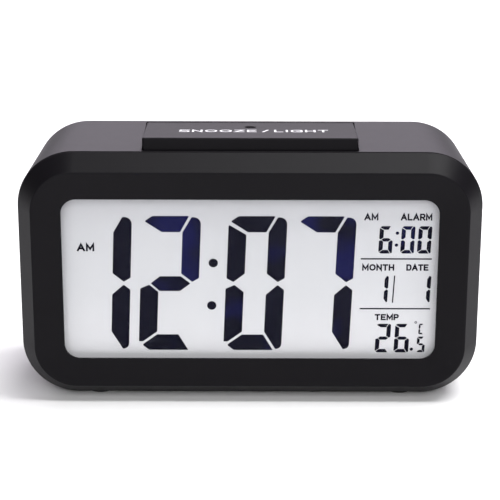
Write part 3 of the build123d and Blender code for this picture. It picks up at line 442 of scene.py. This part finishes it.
# Capitals in a unit square: a width, then strokes as (corners, corner radii, closed)
LETTER_GAP = 0.42
BOWL = ([(0, 0), (0, 1), (1, 1), (1, 0.44), (0, 0.44)], [0, 0, 0.26, 0.26, 0], False)


def straight(*corners):
    """A stroke with sharp corners."""
    return list(corners), [0] * len(corners), False


GLYPHS = {
    " ": (-0.14, []),
    "*": (1.0, [([(0, 0), (1, 0), (1, 1), (0, 1)], [0.49] * 4, True)]),  # a degree ring
    "/": (0.42, [straight((0, 0), (1, 1))]),
    "A": (0.92, [straight((0, 0), (0.5, 1), (1, 0)), straight((0.28, 0.32), (0.72, 0.32))]),
    "D": (0.80, [([(0, 0), (1, 0), (1, 1), (0, 1)], [0, 0.4, 0.4, 0], True)]),
    "E": (0.70, [straight((1, 1), (0, 1), (0, 0), (1, 0)), straight((0.1, 0.5), (0.84, 0.5))]),
    "G": (0.90, [([(1, 0.78), (1, 1), (0, 1), (0, 0), (1, 0), (1, 0.46), (0.55, 0.46)],
                  [0, 0.2, 0.3, 0.3, 0.1, 0, 0], False)]),
    "H": (0.78, [straight((0, 0), (0, 1)), straight((1, 0), (1, 1)), straight((0.1, 0.5), (0.9, 0.5))]),
    "I": (0.05, [straight((0, 0), (0, 1))]),
    "L": (0.66, [straight((0, 1), (0, 0), (1, 0))]),
    "M": (0.96, [straight((0, 0), (0, 1), (0.5, 0.22), (1, 1), (1, 0))]),
    "N": (0.78, [straight((0, 0), (0, 1), (1, 0), (1, 1))]),
    "O": (0.94, [([(0, 0), (1, 0), (1, 1), (0, 1)], [0.46] * 4, True)]),
    "P": (0.72, [BOWL]),
    "R": (0.76, [BOWL, straight((0.58, 0.35), (1, 0))]),
    "S": (0.78, [([(1, 1), (0, 1), (0, 0.5), (1, 0.5), (1, 0), (0, 0)],
                  [0, 0.2, 0.2, 0.2, 0.2, 0], False)]),
    "T": (0.76, [straight((0, 1), (1, 1)), straight((0.5, 0), (0.5, 0.94))]),
    "Z": (0.76, [straight((0, 1), (1, 1), (0, 0), (1, 0))]),
}


# ---------------------------------------------------------------- display
def in_display(depth):
    """Places artwork in the display, at a depth behind the front of the case."""

    def place(x, z, height):
        return FACE + Vector((x * MM, depth - height, z * MM))

    return place


def pane(nodes, name, material):
    """A pane with rounded corners and ground edges, in place of plain CAD sheets."""
    boxes = [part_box(node) for node in nodes]
    inset = Vector((PANE_GAP, PANE_GAP, PANE_GAP))
    low = Vector(min(box[0][axis] for box in boxes) for axis in range(3)) + inset
    high = Vector(max(box[1][axis] for box in boxes) for axis in range(3)) - inset
    corners = [(low.x, low.z), (high.x, low.z), (high.x, high.z), (low.x, high.z)]
    mesh = bmesh.new()
    outline = rounded(corners, [PANE_R] * 4)
    prism(mesh, outline, lambda x, z, t: Vector((x, high.y - t, z)), high.y - low.y)
    sheet = piece(name, mesh, material, "case")
    edge = sheet.modifiers.new("ground_edge", "BEVEL")
    edge.width = PANE_EDGE
    edge.segments = 2
    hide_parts(*nodes)


def segments(w, h, s, b):
    """Seven segment outlines in a cell w by h, with upright strokes s and level strokes b wide."""
    m = h / 2 + 0.02 * b
    corners = {
        "a": [(0.11 * s, h - 0.33 * b), (1.08 * s, h - b), (w - 1.13 * s, h - b),
              (w - 0.66 * s, h), (0.54 * s, h)],
        "b": [(w - s, h - 1.02 * b), (w - s, m + 0.63 * b), (w - 0.375 * s, m + 0.10 * b),
              (w, m + 0.35 * b), (w, h - 0.02 * b), (w - 0.53 * s, h - 0.08 * b)],
        "c": [(w - s, m - 0.71 * b), (w - s, 1.19 * b), (w - 0.33 * s, 0.06 * b),
              (w, 0.15 * b), (w, m - 0.40 * b), (w - 0.375 * s, m - 0.09 * b)],
        "d": [(0.16 * s, 0.33 * b), (0.56 * s, 0), (w - 0.47 * s, 0), (w - 1.05 * s, b), (0.98 * s, b)],
        "e": [(-0.03 * s, m - 0.33 * b), (-0.03 * s, 0.55 * b), (0.2 * s, 0.55 * b), (0.98 * s, 1.19 * b),
              (0.98 * s, m - 0.54 * b), (0.46 * s, m - 0.09 * b)],
        "f": [(0, h - 0.52 * b), (0, m + 0.33 * b), (0.39 * s, m + 0.10 * b),
              (s, m + 0.63 * b), (s, h - 1.16 * b)],
        "g": [(0.55 * s, m), (1.05 * s, m - 0.48 * b), (w - 1.03 * s, m - 0.48 * b),
              (w - 0.47 * s, m), (w - 1.01 * s, m + 0.45 * b), (1.04 * s, m + 0.45 * b)],
    }
    radii = {
        "a": [0.06, 0.04, 0.04, 0.04, 0.3],
        "b": [0.06, 0.06, 0.06, 0.06, 0.42, 0.04],
        "c": [0.06, 0.06, 0.06, 0.3, 0.06, 0.06],
        "d": [0.08, 0.2, 0.02, 0.04, 0.04],
        "e": [0.06, 0.04, 0.04, 0.06, 0.06, 0.06],
        "f": [0.06, 0.06, 0.06, 0.06, 0.06],
        "g": [0.04] * 6,
    }
    return {key: rounded(points, [s * r for r in radii[key]]) for key, points in corners.items()}


ALL_SEGMENTS = "abcdefg"
LIT = {"0": "abcdef", "1": "bc", "2": "abged", "5": "afgcd", "6": "afgedc", "7": "abc", "C": "afed"}
BLUE_IN = {"2": "ab", "7": "ab"}  # the segments of the time that look blue


def digit(symbol, left, base, w, h, s, b, keys=ALL_SEGMENTS):
    """Outlines of the lit segments, among those asked for, of one slanted digit."""
    outlines = []
    shapes = segments(w, h, s, b)
    for key in LIT[symbol]:
        if key not in keys:
            continue
        outlines.append([Vector((left + p.x + p.y * DIGIT_SLANT, base + p.y)) for p in shapes[key]])
    return outlines


def time_digits():
    """The hour and the minutes with the colon between them: plain segments, and those that look blue."""
    plain, blue = [], []
    left = HOURS_LEFT
    size = (DIGIT_W, DIGIT_H, DIGIT_STROKE, DIGIT_BAR)
    for symbol in "12:07":
        if symbol == ":":
            plain += [disc(x, z, COLON_R) for x, z in COLON_DOTS]
            left += COLON_SPACE
            continue
        tinted = BLUE_IN.get(symbol, "")
        plain += digit(symbol, left, DIGIT_BASE, *size, keys=set(ALL_SEGMENTS) - set(tinted))
        blue += digit(symbol, left, DIGIT_BASE, *size, keys=tinted)
        left += DIGIT_PITCH
    return plain, blue


def panel_digits():
    """The alarm time, the date and the temperature at the right, with the lines between them."""
    outlines = []
    for symbol, left in (("6", 37.45), ("0", 43.85), ("0", 48.75)):
        outlines += digit(symbol, left, 7.05, *ALARM_SIZE)
    for left in (36.5, 48.98):
        outlines += digit("1", left, -8.3, *DATE_SIZE)
    for symbol, left in (("2", 37.15), ("6", 42.75)):
        outlines += digit(symbol, left, -24.25, *DEGREES_SIZE)
    outlines += digit("5", 49.5, -24.15, *TENTHS_SIZE)
    outlines += digit("C", 49.95, -18.4, *UNIT_SIZE)
    outlines += [disc(x, z, PANEL_DOT_R) for x, z in ((42.88, 13.35), (42.69, 9.65), (48.05, -23.2))]
    outlines += [bar(PANEL_LEFT, low, PANEL_RIGHT, low + PANEL_LINE) for low in (5.15, -10.5)]
    date_line = ((41.84, -8.4), (42.2, -8.4), (42.63, 0.15), (42.27, 0.15))
    outlines.append([Vector(point) for point in date_line])
    return outlines


CAPTIONS = [
    ("AM", -47.98, 7.5, 2.4, 5.1, 0.58),
    ("AM", 35.18, 17.25, 2.1, 4.1, 0.46),
    ("ALARM", 48.31, 17.25, 2.1, 9.15, 0.46),
    ("MONTH", 37.55, 1.7, 2.0, 9.4, 0.46),
    ("DATE", 49.02, 1.7, 2.0, 6.5, 0.46),
    ("TEMP", 40.47, -13.95, 1.95, 7.1, 0.46),
    ("*", 49.1, -15.0, 0.75, 0.75, 0.2),
]

pane(("lcd_front_glass", "front_polarizer"), "front_glass_and_film", MATERIALS["display_glass"])
pane(("lcd_rear_glass",), "rear_glass_pane", BACKGROUND)
ARTWORK = in_display(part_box("lcd_rear_glass")[0].y - FACE.y + 0.01 * MM)
PLAIN_DIGITS, BLUE_DIGITS = time_digits()
for name, outlines, ink in (
    ("time_segments", PLAIN_DIGITS, SEGMENT_INK),
    ("blue_segments", BLUE_DIGITS, BLUE_INK),
    ("panel_segments", panel_digits(), SEGMENT_INK),
):
    plates(name, outlines, ARTWORK, PRINT_T, ink, "case")
lettering("display_captions", CAPTIONS, ARTWORK, PRINT_T, SEGMENT_INK, "case")


# ---------------------------------------------------------------- print on the bar and the back
ABOVE, BEHIND = 200 * MM, 100 * MM  # rays start here, clear of the clock
BAR_PROBE_X, BAR_PROBE_IN = 20 * MM, 5 * MM  # rays that find the slope of the bar
REAR_PROBE_X, REAR_PROBE_LOW, REAR_PROBE_HIGH = 60 * MM, 20 * MM, 60 * MM  # and that of the back


def surface(node, start, direction):
    """Where a ray meets a CAD node."""
    hit, where, _, _ = frame["nodes"][node].ray_cast(start, direction)
    if not hit:
        raise ValueError(f"no surface of {node} there")
    return where


def on_bar():
    """Places print on the sloping top of the snooze bar: x across, z back from its front edge."""
    low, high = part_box("snooze_bar")
    down = Vector((0, 0, -1))
    near = surface("snooze_bar", Vector((BAR_PROBE_X, low.y + BAR_PROBE_IN, ABOVE)), down)
    far = surface("snooze_bar", Vector((BAR_PROBE_X, high.y - BAR_PROBE_IN, ABOVE)), down)
    back = (far - near).normalized()
    normal = Vector((1, 0, 0)).cross(back)
    origin = Vector((0, near.y, near.z)) - back * (near.y - low.y) / back.y

    def place(x, z, height):
        return origin + Vector((x * MM, 0, 0)) + back * z * MM + normal * height

    return place


BAR_CAPTION = [("SNOOZE / LIGHT", 1.0, 11.0, 4.0, 43.8, 0.62)]
lettering("bar_caption", BAR_CAPTION, on_bar(), PRINT_T, PRINT_WHITE, "snooze_bar")


def on_rear():
    """Places print on the leaning back: x to the right of someone behind it, z up from its middle."""
    toward = Vector((0, -1, 0))
    low = surface("rear_housing", Vector((REAR_PROBE_X, BEHIND, REAR_PROBE_LOW)), toward)
    high = surface("rear_housing", Vector((REAR_PROBE_X, BEHIND, REAR_PROBE_HIGH)), toward)
    up = (high - low).normalized()
    right = Vector((-1, 0, 0))
    normal = right.cross(up)
    middle = low + up * (FACE.z - low.z) / up.z
    middle.x = 0

    def place(x, z, height):
        return middle + right * x * MM + up * z * MM + normal * height

    return place


def arrow(x, z, size, way):
    """The outline of a triangle that points up or down."""
    corners = ((-1, -0.5), (1, -0.5), (0, 1.1))
    return [Vector((x + across * size, z + way * along * size)) for across, along in corners]


REAR_CAPTIONS = [
    ("SET", -24.0, 25.6, 2.0, 5.4, 0.3),
    ("MODE", -8.0, 25.6, 2.0, 7.4, 0.3),
    ("ALARM", -44.0, 25.6, 2.0, 8.8, 0.3),
    ("LIGHT", 44.0, 25.6, 2.0, 7.6, 0.3),
    ("I", -47.0, 14.1, 1.7, 0.5, 0.3),
    ("O", -41.0, 14.1, 1.7, 1.7, 0.3),
    ("I", 41.0, 14.1, 1.7, 0.5, 0.3),
    ("O", 47.0, 14.1, 1.7, 1.7, 0.3),
]
lettering("rear_captions", REAR_CAPTIONS, on_rear(), PRINT_T, PRINT_GREY, "case")
ARROWS = [arrow(8.0, 26.5, 1.2, 1), arrow(24.0, 26.5, 1.2, -1)]
plates("rear_arrows", ARROWS, on_rear(), PRINT_T, PRINT_GREY, "case")


# ---------------------------------------------------------------- stage
FLOOR_HALF = 6.0
SURROUNDINGS = 0.13  # strength of the light from all round


def stage_floor():
    """A plain pale floor."""
    mesh = bmesh.new()
    bmesh.ops.create_grid(mesh, x_segments=8, y_segments=8, size=FLOOR_HALF)
    data = bpy.data.meshes.new("floor")
    mesh.to_mesh(data)
    mesh.free()
    finish = Finish("floor_paper").set(Specular_IOR_Level=0.0)
    tones = [(0.3, (0.87, 0.87, 0.875)), (0.7, (0.89, 0.89, 0.892))]
    finish.join(finish.ramp(finish.noise(0.2), tones), "Base Color")
    data.materials.append(finish.material)
    floor = bpy.data.objects.new("floor", data)
    bpy.context.scene.collection.objects.link(floor)


def softbox(name, place, size, power, colour=(1, 1, 1), aim=Vector((0, 0, 0.04))):
    """A rectangular area light that faces the clock."""
    light = bpy.data.lights.new(name, "AREA")
    light.shape = "RECTANGLE"
    light.size, light.size_y = size
    light.energy = power
    light.color = colour
    lamp = bpy.data.objects.new(name, light)
    lamp.location = place
    lamp.rotation_euler = (aim - Vector(place)).to_track_quat("-Z", "Y").to_euler()
    bpy.context.scene.collection.objects.link(lamp)


def stage_world():
    """Pale surroundings."""
    world = bpy.data.worlds.new("studio")
    world.use_nodes = True
    background = world.node_tree.nodes["Background"]
    background.inputs["Color"].default_value = (1.0, 1.0, 1.0, 1)
    background.inputs["Strength"].default_value = SURROUNDINGS
    bpy.context.scene.world = world


def stage_camera():
    """The camera, at the height and distance of someone standing by a table."""
    ahead = Vector((0, math.cos(CAMERA_ELEVATION), -math.sin(CAMERA_ELEVATION)))
    up = Vector((0, math.sin(CAMERA_ELEVATION), math.cos(CAMERA_ELEVATION)))
    lens = bpy.data.cameras.new("camera")
    lens.lens = CAMERA_LENS
    lens.sensor_width = 36.0
    lens.clip_start, lens.clip_end = 0.05, 50.0
    camera = bpy.data.objects.new("camera", lens)
    camera.location = FACE - ahead * CAMERA_DISTANCE - up * CAMERA_DROP
    tilt = Matrix.Rotation(math.pi / 2 - CAMERA_ELEVATION, 4, "X")
    camera.rotation_euler = (tilt @ Matrix.Rotation(CAMERA_ROLL, 4, "Z")).to_euler()
    bpy.context.scene.collection.objects.link(camera)
    bpy.context.scene.camera = camera


stage_floor()
stage_world()
stage_camera()
softbox("key", (0.40, -0.02, 1.2), (0.60, 0.9), 20)
softbox("fill", (0.15, -1.2, 0.85), (1.6, 0.9), 14.2)
softbox("back", (0.1, 1.3, 0.75), (2.2, 0.7), 21.5, (1.01, 0.93, 1.05))
bpy.context.scene.view_settings.view_transform = "Standard"
